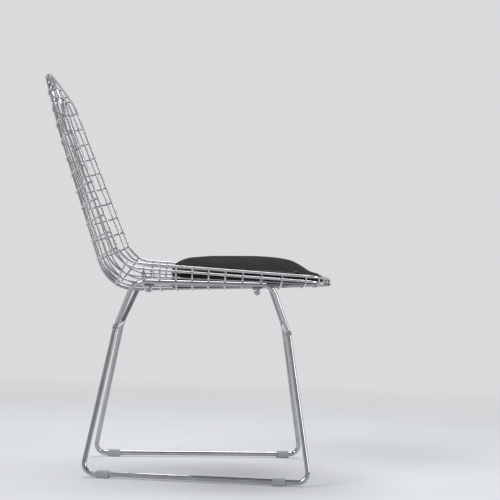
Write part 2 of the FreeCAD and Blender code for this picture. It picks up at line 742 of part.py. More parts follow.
def bracket(end, side, x):
    sign = 1 if side == "left" else -1
    y = sign * RAIL_SIDE
    label = "%s_%s" % (end, side)

    foot = doc.addObject("Part::Box", label + "_foot")
    foot.setExpression("Length", "Sizes.foot_length")
    foot.setExpression("Width", "Sizes.foot_width")
    foot.setExpression("Height", "Sizes.foot_thickness")
    low = v.rail_height - ROD - v.rod_fit - v.foot_thickness
    foot.Placement.Base = Vector(x - v.foot_length / 2, y - v.foot_width / 2, low)
    axis_height = v.rail_height - v.screw_drop
    lug = doc.addObject("Part::Box", label + "_lug")
    lug.setExpression("Length", "Sizes.lug_width")
    lug.setExpression("Width", "Sizes.lug_thickness")
    lug.setExpression(
        "Height", "Sizes.screw_drop - Sizes.rod_diameter / 2 - Sizes.rod_fit - Sizes.foot_thickness"
    )
    lug.Placement.Base = Vector(x - v.lug_width / 2, y - v.lug_thickness / 2, axis_height)
    round_end = doc.addObject("Part::Cylinder", label + "_round_end")
    round_end.setExpression("Radius", "Sizes.lug_width / 2")
    round_end.setExpression("Height", "Sizes.lug_thickness")
    face = Vector(x, y + v.lug_thickness / 2, axis_height)
    round_end.Placement = Placement(face, Rotation(Vector(1, 0, 0), 90))
    blank = doc.addObject("Part::MultiFuse", label + "_blank")
    blank.Shapes = [foot, lug, round_end]
    blank.Refine = True
    hole = doc.addObject("Part::Cylinder", label + "_hole")
    hole.setExpression("Radius", "Sizes.screw_diameter / 2 + Sizes.screw_fit")
    hole.setExpression("Height", "Sizes.lug_thickness * 3")
    middle = Vector(x, y + v.lug_thickness * 1.5, axis_height)
    hole.Placement = Placement(middle, Rotation(Vector(1, 0, 0), 90))
    drilled = doc.addObject("Part::Cut", label + "_bracket")
    drilled.Base = blank
    drilled.Tool = hole
    finished(drilled, label + "_bracket")

    # The screw is drawn along its own Z, from the tip to the head
    shank = doc.addObject("Part::Cylinder", label + "_shank")
    shank.setExpression("Radius", "Sizes.screw_diameter / 2")
    shank.setExpression("Height", "Sizes.screw_inside + Sizes.lug_thickness + Sizes.screw_fit")
    head = doc.addObject("Part::Cylinder", label + "_head")
    head.setExpression("Radius", "Sizes.head_diameter / 2")
    head.setExpression("Height", "Sizes.head_height")
    head.Placement.Base = Vector(0, 0, v.screw_inside + v.lug_thickness + v.screw_fit)
    doc.recompute()
    dome = doc.addObject("Part::Fillet", label + "_dome")
    dome.Base = head
    lows = [edge.BoundBox.ZMin for edge in head.Shape.Edges]
    dome.Edges = [(lows.index(max(lows)) + 1, v.head_rounding, v.head_rounding)]
    screw = doc.addObject("Part::Fuse", label + "_screw")
    screw.Base = shank
    screw.Tool = dome
    tip = Vector(x, y - sign * (v.lug_thickness / 2 + v.screw_inside), axis_height)
    screw.Placement = Placement(tip, Rotation(Vector(0, 0, 1), Vector(0, sign, 0)))
    finished(screw, label + "_screw")


for side in ("left", "right"):
    for end, x in bracket_places.items():
        bracket(end, side, x)


# Pad: it fills the seat of the dish from just above the wires, with a crown and a drawn-in edge

def pad_section(share):
    """Outline of the pad across the seat, at a share of its length from the rear."""
    x = mix(RIM_CORNER.x + v.pad_rear, v.front_reach - v.pad_front_inset, share)
    half = (SIDE - v.pad_side_inset) * (1 - v.pad_taper * abs(2 * share - 1) ** 6)
    place = Vector(x, 0, 0)

    def ahead(point):
        return point.x - x

    def floor(y):
        return crossing(long_wire_path(y)[2:6], ahead)[0].z + MESH + v.pad_clearance

    rear_part = max(0.0, 1 - share / 0.45)
    front_part = max(0.0, (share - 0.5) / 0.5)
    crown = RIM_CORNER.z + v.pad_crown_rise
    crown = crown - v.pad_rear_drop * rear_part ** 4 - v.pad_front_drop * front_part ** 3
    low_edge = place + Vector(0, half, floor(half))
    high_edge = low_edge + Vector(0, 0, v.pad_edge)
    low_middle = place + Vector(0, 0, floor(0))
    high_middle = place + Vector(0, 0, crown)
    edges = [
        Part.Arc(opposite(low_edge), low_middle, low_edge),
        Part.LineSegment(low_edge, high_edge),
        Part.Arc(high_edge, high_middle, opposite(high_edge)),
        Part.LineSegment(opposite(high_edge), opposite(low_edge)),
    ]
    return Part.Wire([edge.toShape() for edge in edges])


pad = doc.addObject("Part::Feature", "seat_pad")
pad_shares = (0, 0.05, 0.14, 0.32, 0.55, 0.76, 0.9, 1)
pad.Shape = Part.makeLoft([pad_section(share) for share in pad_shares], True, False)
pad.Placement = Placement()
finished(pad, "seat_pad")


# Check and write

doc.recompute()
for thing in doc.Objects:
    if "Invalid" in thing.State or "Error" in thing.State:
        raise RuntimeError("%s failed: %s" % (thing.Label, thing.State))
os.makedirs("parts", exist_ok=True)
for thing in nodes:
    if thing.Shape.isNull() or not thing.Shape.isValid():
        raise RuntimeError("%s has no valid shape" % thing.Label)
    if len(thing.Shape.Solids) != 1:
        raise RuntimeError("%s has %d solids" % (thing.Label, len(thing.Shape.Solids)))
for thing in nodes:
    thing.Shape.exportStep("parts/%s.step" % thing.Label)
print("%d nodes" % len(nodes))
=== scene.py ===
import math

import bpy
from bpy.props import FloatProperty, FloatVectorProperty, IntProperty, PointerProperty
from mathutils import Matrix, Vector, noise
from mathutils.bvhtree import BVHTree


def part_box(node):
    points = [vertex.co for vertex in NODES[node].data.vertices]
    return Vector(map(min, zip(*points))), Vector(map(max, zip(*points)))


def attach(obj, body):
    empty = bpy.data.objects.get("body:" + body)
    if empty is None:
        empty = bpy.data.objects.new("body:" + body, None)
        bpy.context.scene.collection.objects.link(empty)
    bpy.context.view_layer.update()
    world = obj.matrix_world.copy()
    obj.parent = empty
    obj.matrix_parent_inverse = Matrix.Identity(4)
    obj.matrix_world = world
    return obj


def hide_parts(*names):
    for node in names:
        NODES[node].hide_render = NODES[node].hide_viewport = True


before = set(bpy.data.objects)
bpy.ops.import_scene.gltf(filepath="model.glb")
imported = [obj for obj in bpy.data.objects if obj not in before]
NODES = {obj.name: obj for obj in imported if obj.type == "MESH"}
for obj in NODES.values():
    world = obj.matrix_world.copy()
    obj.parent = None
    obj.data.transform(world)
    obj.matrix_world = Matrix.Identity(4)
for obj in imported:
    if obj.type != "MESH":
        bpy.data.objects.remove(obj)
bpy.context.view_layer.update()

bl_info = {
    "name": "Wire mesh chair",
    "version": (1, 0, 0),
    "blender": (4, 5, 0),
    "location": "3D View > Sidebar > Wire chair",
    "description": "Wire mesh chair with polished wire, weld beads, frosted glides and a pad",
    "category": "Object",
}


def nodes_ending(tail):
    return sorted(name for name in NODES if name.endswith(tail))


LONG_WIRES = sorted(name for name in NODES if name.startswith("long_wire"))
CROSS_WIRES = sorted(name for name in NODES if "_cross_wire" in name)
RIMS = ["outer_rim", "inner_rim"]
RODS = nodes_ending("_rod")
STRAPS = nodes_ending("_strap")
BRACKETS = nodes_ending("_bracket")
SCREWS = nodes_ending("_screw")
GLIDES = nodes_ending("_glide")

# Tone of each part's chrome against its base colour, and how much rougher the mesh is than the
# rims. The rims' tone is painted light and the mesh's tone is painted shade: one plating, painted
# lighter on the rims and darker on the wires below them.
RIM_PAINTED_LIGHT = 1.18
MESH_PAINTED_SHADE = 0.82
ROD_TONE = 0.95
SCREW_TONE = 1.25
MESH_ROUGHER = 1.15

# Name, place, width and height, and power of each lamp, in metres and watts
LAMPS = (
    ("key", (-1.9, -2.2, 2.5), (1.4, 1.4), 56),
    ("side", (2.6, -1.2, 1.3), (0.7, 1.8), 24),
    ("top", (0.2, 0.9, 2.8), (1.8, 1.2), 43),
)
LAMP_TARGET = (0, 0, 0.4)

# Half the width of the floor, and how far it lies under the glides
FLOOR_REACH = 14.0
FLOOR_DROP = 0.0002
# Distances from the origin at which the floor's own light starts to give way, and has gone
FLOOR_FADE = (0.9, 2.6)
# How far back a direction points where the near side ends, and where the backdrop is full
BACKDROP_RANGE = (-0.8, 0.4)
# How far up a direction points where the ceiling starts, and where it is full
CEILING_RANGE = (0.12, 0.6)
SENSOR_WIDTH = 36
CLIP_END = 50

# Welds: how closely two surfaces are brought together, and how near they have to come
CONTACT_STEPS = 14
CONTACT_GAP = 0.0016
# How far beside a long wire a corner of the cross wire may lie to count as on it
CROSSING_REACH = 0.02
# Largest turn of a bead about each axis, and its smallest and largest scale
BEAD_TURN = 6.283
BEAD_SCALE = (0.86, 1.14)
# Ring of weld at a leg's end: points, how uneven it is, and its size against the rod's radius
RING_POINTS = 28
RING_LUMPS = 0.28
RING_PROUD = 1.02
# Where a leg ends and where its direction is read, in radii from the knee rod's axis
LEG_END = 1.6
LEG_SLICE = 3
# How thick a slice of the leg is read there
LEG_SLICE_DEPTH = 0.0012
TUBE_FINENESS = 4
LUMP_SCALE = 700

# Squares of the pad's grid from front to rear and from side to side
PAD_GRID = (54, 66)
# Height of the pad's top over its plain crown: share of the length from the rear, metres
PAD_TRIM = (
    (0, 0.0015), (0.05, 0.0025), (0.10, 0.0010), (0.18, -0.0020), (0.28, -0.0020),
    (0.40, -0.0012), (0.78, -0.0006), (0.834, -0.0017), (0.876, -0.0040),
    (0.909, -0.0058), (0.959, -0.0033), (1, 0.0010),
)
# The space kept for the pad is looked up from these heights, and in steps towards its middle
LOOK_DOWN_FROM = 1
LOOK_UP_FROM = 0.2
LOOK_STEPS = 30
LOOK_STEP = 0.004
# How sharply the pad narrows at its ends, how far the ends pull in between the corners, as a
# share of half the length, and how sharply an end's edge turns into a side's
TAPER_POWER = 6
END_WAIST = 0.010
CORNER_POWER = 8
# Added under a division that would be by zero in the middle of the pad
TINY = 1e-9
# Where the side seams start to rise, how long they take, and the length of the ruffle
LIFT_START = 0.08
LIFT_RUN = 0.09
HUMP_LENGTH = 0.0075
# Width of the rounded edge underneath against that on top
UNDER_ROLL = 0.45
# Unevenness of the puckers: how far they drift, and how often round the pad
PUCKER_DRIFT = ((1.7, 3), (0.8, 11))
# How far inside the seam the puckers are deepest, and how broad that band is
PUCKER_PLACE = 0.008
PUCKER_BREADTH = 0.007
# Distance from the seam at which the trim and the slack are full
CROWN_RUN = 0.02
# Soft dents in the top: depth, how close together along and across, and the layer of noise used
DENT_DEPTH = 0.0011
DENT_SCALE = (14, 11)
DENT_LAYER = 0.3
# Cloth that the filling pushes out, for how many frames, and the lean below which it is held
PAD_CLOTH = {
    "quality": 6,
    "mass": 0.4,
    "tension_stiffness": 22,
    "compression_stiffness": 22,
    "shear_stiffness": 9,
    "bending_stiffness": 1.2,
    "use_pressure": True,
    "uniform_pressure_force": 2.5,
}
FILLING_FRAMES = 16
HELD_LEAN = 0.05
# Row of stitches: grid lines from the seam, height over the cover, and thickness
STITCH_ROW = 4
STITCH_LIFT = 0.0002
STITCH_RADIUS = 0.00045
# Half the length of a stitch against the distance to the next one
STITCH_REACH = 0.39
# Roughness and specular level of the cover and the welt, and the welt's grain against the cover's
COVER_ROUGHNESS = 0.50
COVER_SPECULAR = 0.07
WELT_GRAIN = 0.6
WELT_ROUGHNESS = 0.24
WELT_SPECULAR = 0.5


# Sizes and colours that a user would change

class ChairFinish(bpy.types.PropertyGroup):
    chrome: FloatVectorProperty(
        name="Chrome", description="Colour of the polished wire and rod",
        subtype="COLOR", size=3, min=0, max=1, default=(0.50, 0.505, 0.515),
    )
    chrome_gloss: FloatProperty(
        name="Chrome roughness", description="Roughness of the plating",
        subtype="FACTOR", min=0, max=1, default=0.08,
    )
    steel: FloatVectorProperty(
        name="Fittings", description="Colour of the straps, brackets and screws",
        subtype="COLOR", size=3, min=0, max=1, default=(0.42, 0.42, 0.43),
    )
    plastic: FloatVectorProperty(
        name="Glides", description="Colour of the frosted glides",
        subtype="COLOR", size=3, min=0, max=1, default=(0.50, 0.52, 0.53),
    )
    leather: FloatVectorProperty(
        name="Pad cover", description="Colour of the cover of the pad",
        subtype="COLOR", size=3, min=0, max=1, default=(0.0062, 0.0060, 0.0061),
    )
    grain: FloatProperty(
        name="Grain", description="Size of the grain of the pad cover",
        subtype="DISTANCE", unit="LENGTH", min=0.0002, max=0.01, default=0.0019,
    )


class ChairPad(bpy.types.PropertyGroup):
    margin: FloatProperty(
        name="Margin", description="Cover inside the space that is kept for the pad",
        subtype="DISTANCE", unit="LENGTH", min=0, max=0.02, default=0.0006,
    )
    squareness: FloatProperty(
        name="Squareness", description="How square the corners of the pad are",
        min=2, max=30, default=13.0,
    )
    taper: FloatProperty(
        name="Taper", description="How much narrower the pad is at its ends",
        subtype="FACTOR", min=0, max=1, default=0.24,
    )
    waist: FloatProperty(
        name="Waist", description="How far the sides pull in between the corners",
        subtype="DISTANCE", unit="LENGTH", min=0, max=0.02, default=0.0025,
    )
    end_roll: FloatProperty(
        name="End roll", description="Width of the rounded edge at the front and rear",
        subtype="DISTANCE", unit="LENGTH", min=0.004, max=0.06, default=0.009,
    )
    side_roll: FloatProperty(
        name="Side roll", description="Width of the rounded edge at the sides",
        subtype="DISTANCE", unit="LENGTH", min=0.004, max=0.06, default=0.022,
    )
    end_seam: FloatProperty(
        name="End seam", description="Height of the seam at the ends, as a share of the edge",
        min=0, max=1.5, default=0.85,
    )
    side_seam: FloatProperty(
        name="Side seam", description="Height of the seam at the sides, as a share of the edge",
        min=0, max=1.5, default=1.0,
    )
    side_lift: FloatProperty(
        name="Side lift", description="How much higher the side seams are in the front half",
        subtype="DISTANCE", unit="LENGTH", min=0, max=0.02, default=0.005,
    )
    slack: FloatProperty(
        name="Slack", description="How much lower the crown is before it is filled",
        subtype="DISTANCE", unit="LENGTH", min=0, max=0.02, default=0.0025,
    )
    swell: FloatProperty(
        name="Swell", description="How far the filling may push the cover out",
        subtype="DISTANCE", unit="LENGTH", min=0, max=0.02, default=0.0045,
    )
    puckers: IntProperty(
        name="Puckers", description="Small folds along the seam", min=0, max=200, default=46,
    )
    pucker_depth: FloatProperty(
        name="Pucker depth", description="Depth of the folds along the seam",
        subtype="DISTANCE", unit="LENGTH", min=0, max=0.01, default=0.0025,
    )
    welt: FloatProperty(
        name="Welt", description="Diameter of the piping in the seam",
        subtype="DISTANCE", unit="LENGTH", min=0.001, max=0.02, default=0.0046,
    )
    hump: FloatProperty(
        name="Hump", description="Height of the ruffle in the right side seam near the front",
        subtype="DISTANCE", unit="LENGTH", min=0, max=0.02, default=0.0055,
    )
    hump_forward: FloatProperty(
        name="Hump place", description="Ruffle in the right side seam, forward of the origin",
        subtype="DISTANCE", unit="LENGTH", min=-0.1, max=0.3, default=0.230,
    )
    stitch: FloatProperty(
        name="Stitch", description="Distance from one stitch beside the welt to the next",
        subtype="DISTANCE", unit="LENGTH", min=0.001, max=0.02, default=0.0042,
    )


class ChairWelds(bpy.types.PropertyGroup):
    bead: FloatProperty(
        name="Bead", description="Radius of the weld where two wires touch",
        subtype="DISTANCE", unit="LENGTH", min=0.0005, max=0.01, default=0.0018,
    )
    collar: FloatProperty(
        name="Ring", description="Radius of the weld that runs round the end of a leg",
        subtype="DISTANCE", unit="LENGTH", min=0.0003, max=0.01, default=0.0011,
    )
    seed: IntProperty(
        name="Seed", description="Seed for the unevenness of the beads", default=4,
    )


class ChairStage(bpy.types.PropertyGroup):
    floor: FloatVectorProperty(
        name="Floor", description="Colour of the floor near the chair",
        subtype="COLOR", size=3, min=0, max=1, default=(0.72, 0.73, 0.74),
    )
    backdrop: FloatVectorProperty(
        name="Backdrop", description="Colour of the studio behind the chair",
        subtype="COLOR", size=3, min=0, max=1, default=(0.695, 0.704, 0.714),
    )
    near_side: FloatVectorProperty(
        name="Near side", description="Colour of the studio on the right side of the chair",
        subtype="COLOR", size=3, min=0, max=1, default=(0.42, 0.425, 0.435),
    )
    ceiling: FloatVectorProperty(
        name="Ceiling", description="Colour of the studio overhead",
        subtype="COLOR", size=3, min=0, max=1, default=(0.28, 0.29, 0.31),
    )
    eye: FloatVectorProperty(
        name="Eye", description="Place of the camera",
        subtype="TRANSLATION", unit="LENGTH", size=3, default=(0.0922, -3.9049, 0.4818),
    )
    yaw: FloatProperty(
        name="Yaw", description="Camera to the right",
        subtype="ANGLE", unit="ROTATION", default=0.011446,
    )
    pitch: FloatProperty(
        name="Pitch", description="Camera upward",
        subtype="ANGLE", unit="ROTATION", default=-0.004675,
    )
    roll: FloatProperty(
        name="Roll", description="Camera about its own axis",
        subtype="ANGLE", unit="ROTATION", default=-0.027938,
    )
    lens: FloatProperty(
        name="Lens", description="Focal length in millimetres on a 36 mm sensor", default=133.29,
    )
    shift: FloatVectorProperty(
        name="Shift", description="Shift of the picture", size=2, default=(-0.001, 0.001),
    )


# Nodes

def give(tree, node, inputs):
    """Gives each input its value, or links the output that feeds it."""
    for name, value in inputs.items():
        if isinstance(value, bpy.types.NodeSocket):
            tree.links.new(value, node.inputs[name])
        else:
            node.inputs[name].default_value = value


def add(tree, kind, inputs=None, **settings):
    """A new node of this kind, with its settings and then its inputs."""
    node = tree.nodes.new(kind)
    for name, value in settings.items():
        setattr(node, name, value)
    give(tree, node, inputs or {})
    return node


# Materials

def new_material(name):
    material = bpy.data.materials.new(name)
    material.use_nodes = True
    tree = material.node_tree
    tree.nodes.clear()
    output = add(tree, "ShaderNodeOutputMaterial")
    shader = add(tree, "ShaderNodeBsdfPrincipled")
    tree.links.new(shader.outputs["BSDF"], output.inputs["Surface"])
    return material, tree, shader


def object_place(tree):
    return add(tree, "ShaderNodeTexCoord").outputs["Object"]


def object_noise(tree, scale, detail, roughness, stretch=(1, 1, 1)):
    mapping = add(tree, "ShaderNodeMapping", {"Scale": stretch, "Vector": object_place(tree)})
    return add(tree, "ShaderNodeTexNoise", {
        "Scale": scale,
        "Detail": detail,
        "Roughness": roughness,
        "Vector": mapping.outputs["Vector"],
    }).outputs["Fac"]


def ranged(tree, value, low, high, from_low=0.3, from_high=0.7, kind="LINEAR"):
    return add(tree, "ShaderNodeMapRange", {
        "From Min": from_low,
        "From Max": from_high,
        "To Min": low,
        "To Max": high,
        "Value": value,
    }, interpolation_type=kind).outputs["Result"]


def coloured(tree, value, dark, light, low=0.35, high=0.65):
    ramp = add(tree, "ShaderNodeValToRGB", {"Fac": value})
    for stop, place, colour in zip(ramp.color_ramp.elements, (low, high), (dark, light)):
        stop.position = place
        stop.color = (*colour, 1)
    return ramp.outputs["Color"]


def mixed(tree, share, first, second, blend="MIX"):
    return add(tree, "ShaderNodeMix", {
        "Factor": share,
        "A": first,
        "B": second,
    }, data_type="RGBA", blend_type=blend).outputs["Result"]


def bumped(tree, height, distance, strength, under=None):
    bump = add(tree, "ShaderNodeBump", {
        "Strength": strength,
        "Distance": distance,
        "Height": height,
    })
    if under:
        tree.links.new(under, bump.inputs["Normal"])
    return bump.outputs["Normal"]


def tone(colour, factor):
    return tuple(min(1.0, part * factor) for part in colour)


def polished_wire(name, colour, roughness, haze):
    """Chrome plating: a mirror with a faint ripple, hazy patches and darker smudges."""
    material, tree, shader = new_material(name)
    smudge = object_noise(tree, scale=34, detail=5, roughness=0.6)
    patches = object_noise(tree, scale=130, detail=4, roughness=0.65)
    ripple = object_noise(tree, scale=420, detail=2, roughness=0.5)
    give(tree, shader, {
        "Metallic": 1.0,
        "Base Color": coloured(tree, smudge, dark=tone(colour, 0.9), light=tone(colour, 1.06)),
        "Roughness": ranged(tree, patches, low=roughness * 0.7, high=roughness + haze),
        "Normal": bumped(tree, ripple, distance=0.00003, strength=0.5),
    })
    return material


def weld_metal(name, colour):
    """Plated weld bead: a little rougher and lumpier than the wire."""
    material, tree, shader = new_material(name)
    lumps = object_noise(tree, scale=900, detail=4, roughness=0.6)
    give(tree, shader, {
        "Metallic": 1.0,
        "Base Color": coloured(tree, lumps, dark=tone(colour, 0.7), light=tone(colour, 0.98)),
        "Roughness": ranged(tree, lumps, low=0.16, high=0.34),
        "Normal": bumped(tree, lumps, distance=0.0002, strength=0.6),
    })
    return material


def brushed_steel(name, colour):
    """Zinc-plated fittings with a fine brushed grain."""
    material, tree, shader = new_material(name)
    grain = object_noise(tree, scale=700, detail=4, roughness=0.6, stretch=(0.08, 1, 1))
    give(tree, shader, {
        "Metallic": 1.0,
        "Base Color": coloured(tree, grain, dark=tone(colour, 0.75), light=tone(colour, 1.15)),
        "Roughness": ranged(tree, grain, low=0.24, high=0.42),
        "Normal": bumped(tree, grain, distance=0.00005, strength=0.5),
    })
    return material


def frosted_plastic(name, colour):
    """Soft clear plastic, hazed by scuffs, and darker in its lowest 4 mm, next to the floor."""
    material, tree, shader = new_material(name)
    cloud = object_noise(tree, scale=160, detail=5, roughness=0.6)
    body = coloured(tree, cloud, dark=tone(colour, 0.9), light=tone(colour, 1.06))
    split = add(tree, "ShaderNodeSeparateXYZ", {"Vector": object_place(tree)})
    near_floor = ranged(tree, split.outputs["Z"], low=0.75, high=0.0, from_low=0.0, from_high=0.004)
    scuffs = object_noise(tree, scale=900, detail=6, roughness=0.7, stretch=(1, 1, 0.3))
    give(tree, shader, {
        "Subsurface Weight": 0.35,
        "Subsurface Scale": 0.004,
        "Transmission Weight": 0.35,
        "IOR": 1.5,
        "Base Color": mixed(tree, near_floor, body, (*tone(colour, 0.55), 1)),
        "Roughness": ranged(tree, scuffs, low=0.34, high=0.62),
        "Normal": bumped(tree, scuffs, distance=0.00012, strength=0.6),
    })
    return material


def black_leather(name, colour, grain, roughness, specular):
    """Black leather: pebbled grain, soft creases and a worn, slightly duller crown."""
    material, tree, shader = new_material(name)
    place = object_place(tree)
    drift = add(tree, "ShaderNodeTexNoise", {"Vector": place, "Scale": 0.35 / grain, "Detail": 2})
    small = add(tree, "ShaderNodeVectorMath", {
        0: drift.outputs["Color"],
        "Scale": grain * 0.8,
    }, operation="SCALE")
    warp = add(tree, "ShaderNodeVectorMath", {
        0: place,
        1: small.outputs["Vector"],
    }, operation="ADD")
    pebble = add(tree, "ShaderNodeTexVoronoi", {
        "Vector": warp.outputs["Vector"],
        "Scale": 1 / grain,
        "Randomness": 0.9,
    }, feature="DISTANCE_TO_EDGE")
    cells = ranged(tree, pebble.outputs["Distance"], low=0, high=1, from_low=0.0, from_high=0.22)
    groove = (0.35, 0.35, 0.35)
    pebbled = coloured(tree, cells, dark=groove, light=(1, 1, 1), low=0.0, high=0.8)

    worn = object_noise(tree, scale=22, detail=4, roughness=0.55)
    plain = coloured(tree, worn, dark=colour, light=tone(colour, 2.1))
    creases = object_noise(tree, scale=60, detail=6, roughness=0.62, stretch=(1, 0.45, 1))
    creased = bumped(tree, creases, distance=0.0016, strength=0.5)
    give(tree, shader, {
        "Base Color": mixed(tree, 1.0, plain, pebbled, blend="MULTIPLY"),
        "Roughness": ranged(tree, worn, low=roughness, high=roughness + 0.14),
        "Normal": bumped(tree, cells, distance=0.0003, strength=0.8, under=creased),
        "Specular IOR Level": specular,
    })
    return material


def linen_thread(name):
    """Waxed black thread with a twist."""
    material, tree, shader = new_material(name)
    twist = object_noise(tree, scale=2400, detail=2, roughness=0.5, stretch=(1, 0.3, 1))
    shade = (0.010, 0.010, 0.011)
    shine = (0.035, 0.034, 0.034)
    give(tree, shader, {
        "Base Color": coloured(tree, twist, dark=shade, light=shine),
        "Roughness": ranged(tree, twist, low=0.5, high=0.7),
    })
    return material


def studio_tone(tree, pale, dim):
    """Colour of the studio in each direction: pale behind the chair, dimmer on the near side.

    Gives the colour, and how far up the direction points.
    """
    direction = add(tree, "ShaderNodeVectorMath", {0: object_place(tree)}, operation="NORMALIZE")
    split = add(tree, "ShaderNodeSeparateXYZ", {"Vector": direction.outputs["Vector"]})
    behind = ranged(tree, split.outputs["Y"], 0, 1, *BACKDROP_RANGE, kind="SMOOTHSTEP")
    return mixed(tree, behind, (*dim, 1), (*pale, 1)), split.outputs["Z"]


def plain_floor(name, colour, pale, dim):
    """Pale seamless paper that takes the studio's even tone away from the chair.

    It does so only where it is looked at, reflected or seen through something, and gives no
    soft light of its own.
    """
    material, tree, shader = new_material(name)
    fibre = object_noise(tree, scale=3, detail=2, roughness=0.5)
    give(tree, shader, {
        "Base Color": coloured(tree, fibre, dark=tone(colour, 0.99), light=tone(colour, 1.01)),
        "Roughness": 0.8,
        "Specular IOR Level": 0.1,
    })
    even = add(tree, "ShaderNodeEmission", {
        "Strength": 1.0,
        "Color": studio_tone(tree, pale, dim)[0],
    })
    away = add(tree, "ShaderNodeVectorMath", {0: object_place(tree)}, operation="LENGTH")
    far = ranged(tree, away.outputs["Value"], 0, 1, *FLOOR_FADE, kind="SMOOTHSTEP")
    path = add(tree, "ShaderNodeLightPath")
    seen = path.outputs["Is Camera Ray"]
    for ray in ("Is Glossy Ray", "Is Transmission Ray"):
        either = add(tree, "ShaderNodeMath", {0: seen, 1: path.outputs[ray]}, operation="MAXIMUM")
        seen = either.outputs["Value"]
    share = add(tree, "ShaderNodeMath", {0: far, 1: seen}, operation="MULTIPLY")
    both = add(tree, "ShaderNodeMixShader", {
        "Fac": share.outputs["Value"],
        1: shader.outputs["BSDF"],
        2: even.outputs["Emission"],
    })
    output = next(node for node in tree.nodes if node.type == "OUTPUT_MATERIAL")
    tree.links.new(both.outputs["Shader"], output.inputs["Surface"])
    return material


def wear(names, material):
    """Gives every slot of these CAD nodes the material."""
    for name in names:
        if not NODES[name].material_slots:
            NODES[name].data.materials.append(material)
        for slot in NODES[name].material_slots:
            slot.material = material


# Mesh helpers

def new_piece(name, mesh, material=None):
    piece = bpy.data.objects.new(name, mesh)
    bpy.context.scene.collection.objects.link(piece)
    if material:
        mesh.materials.clear()
        mesh.materials.append(material)
    return piece


def smooth(mesh):
    for face in mesh.polygons:
        face.use_smooth = True


def corners_of(name):
    return [vertex.co for vertex in NODES[name].data.vertices]


def surface_of(name):
    faces = [face.vertices for face in NODES[name].data.polygons]
    return BVHTree.FromPolygons(corners_of(name), faces)


def plain_mesh(thing, name):
    """The evaluated object as a mesh of its own."""
    depsgraph = bpy.context.evaluated_depsgraph_get()
    mesh = bpy.data.meshes.new_from_object(thing.evaluated_get(depsgraph))
    mesh.name = name
    return mesh


def tube_along(name, points, radius, lumps=0.0):
    """A round tube along a closed loop, as a mesh; lumps is how unevenly thick it is."""
    curve = bpy.data.curves.new(name, "CURVE")
    curve.dimensions = "3D"
    curve.bevel_depth = radius
    curve.bevel_resolution = TUBE_FINENESS
    spline = curve.splines.new("POLY")
    spline.points.add(len(points) - 1)
    for knot, point in zip(spline.points, points):
        knot.co = (*point, 1)
        knot.radius = 1 + lumps * noise.noise(Vector(point) * LUMP_SCALE)
    spline.use_cyclic_u = True
    holder = new_piece(name, curve)
    mesh = plain_mesh(holder, name)
    bpy.data.objects.remove(holder)
    smooth(mesh)
    return mesh


# Geometry Nodes

def new_tree(name, sizes):
    """A geometry tree with a geometry socket each way and one named input for each size."""
    tree = bpy.data.node_groups.new(name, "GeometryNodeTree")
    for way in ("INPUT", "OUTPUT"):
        tree.interface.new_socket("Geometry", in_out=way, socket_type="NodeSocketGeometry")
    for label, kind, value in sizes:
        socket = tree.interface.new_socket(label, in_out="INPUT", socket_type=kind)
        if value is not None:
            socket.default_value = value
    return tree, add(tree, "NodeGroupInput"), add(tree, "NodeGroupOutput")


def end_tree(tree, given, result, instances):
    """Ends a tree with real instances that wear its material."""
    real = add(tree, "GeometryNodeRealizeInstances", {"Geometry": instances})
    coated = add(tree, "GeometryNodeSetMaterial", {
        "Geometry": real.outputs["Geometry"],
        "Material": given.outputs["Material"],
    })
    tree.links.new(coated.outputs["Geometry"], result.inputs["Geometry"])


def bead_tree():
    """A lumpy bead on every point."""
    tree, given, result = new_tree("weld_beads", [
        ("Radius", "NodeSocketFloat", 0.002),
        ("Seed", "NodeSocketInt", 1),
        ("Material", "NodeSocketMaterial", None),
    ])
    ball = add(tree, "GeometryNodeMeshIcoSphere", {
        "Subdivisions": 2,
        "Radius": given.outputs["Radius"],
    })
    smooth_ball = add(tree, "GeometryNodeSetShadeSmooth", {"Geometry": ball.outputs["Mesh"]})
    turned = add(tree, "FunctionNodeRandomValue", {
        "Max": (BEAD_TURN, BEAD_TURN, BEAD_TURN),
        "Seed": given.outputs["Seed"],
    }, data_type="FLOAT_VECTOR")
    smallest, largest = BEAD_SCALE
    sized = add(tree, "FunctionNodeRandomValue", {
        "Min": (smallest, smallest, smallest),
        "Max": (largest, largest, largest),
        "Seed": given.outputs["Seed"],
    }, data_type="FLOAT_VECTOR")
    placed = add(tree, "GeometryNodeInstanceOnPoints", {
        "Points": given.outputs["Geometry"],
        "Instance": smooth_ball.outputs["Geometry"],
        "Rotation": turned.outputs["Value"],
        "Scale": sized.outputs["Value"],
    })
    end_tree(tree, given, result, placed.outputs["Instances"])
    return tree


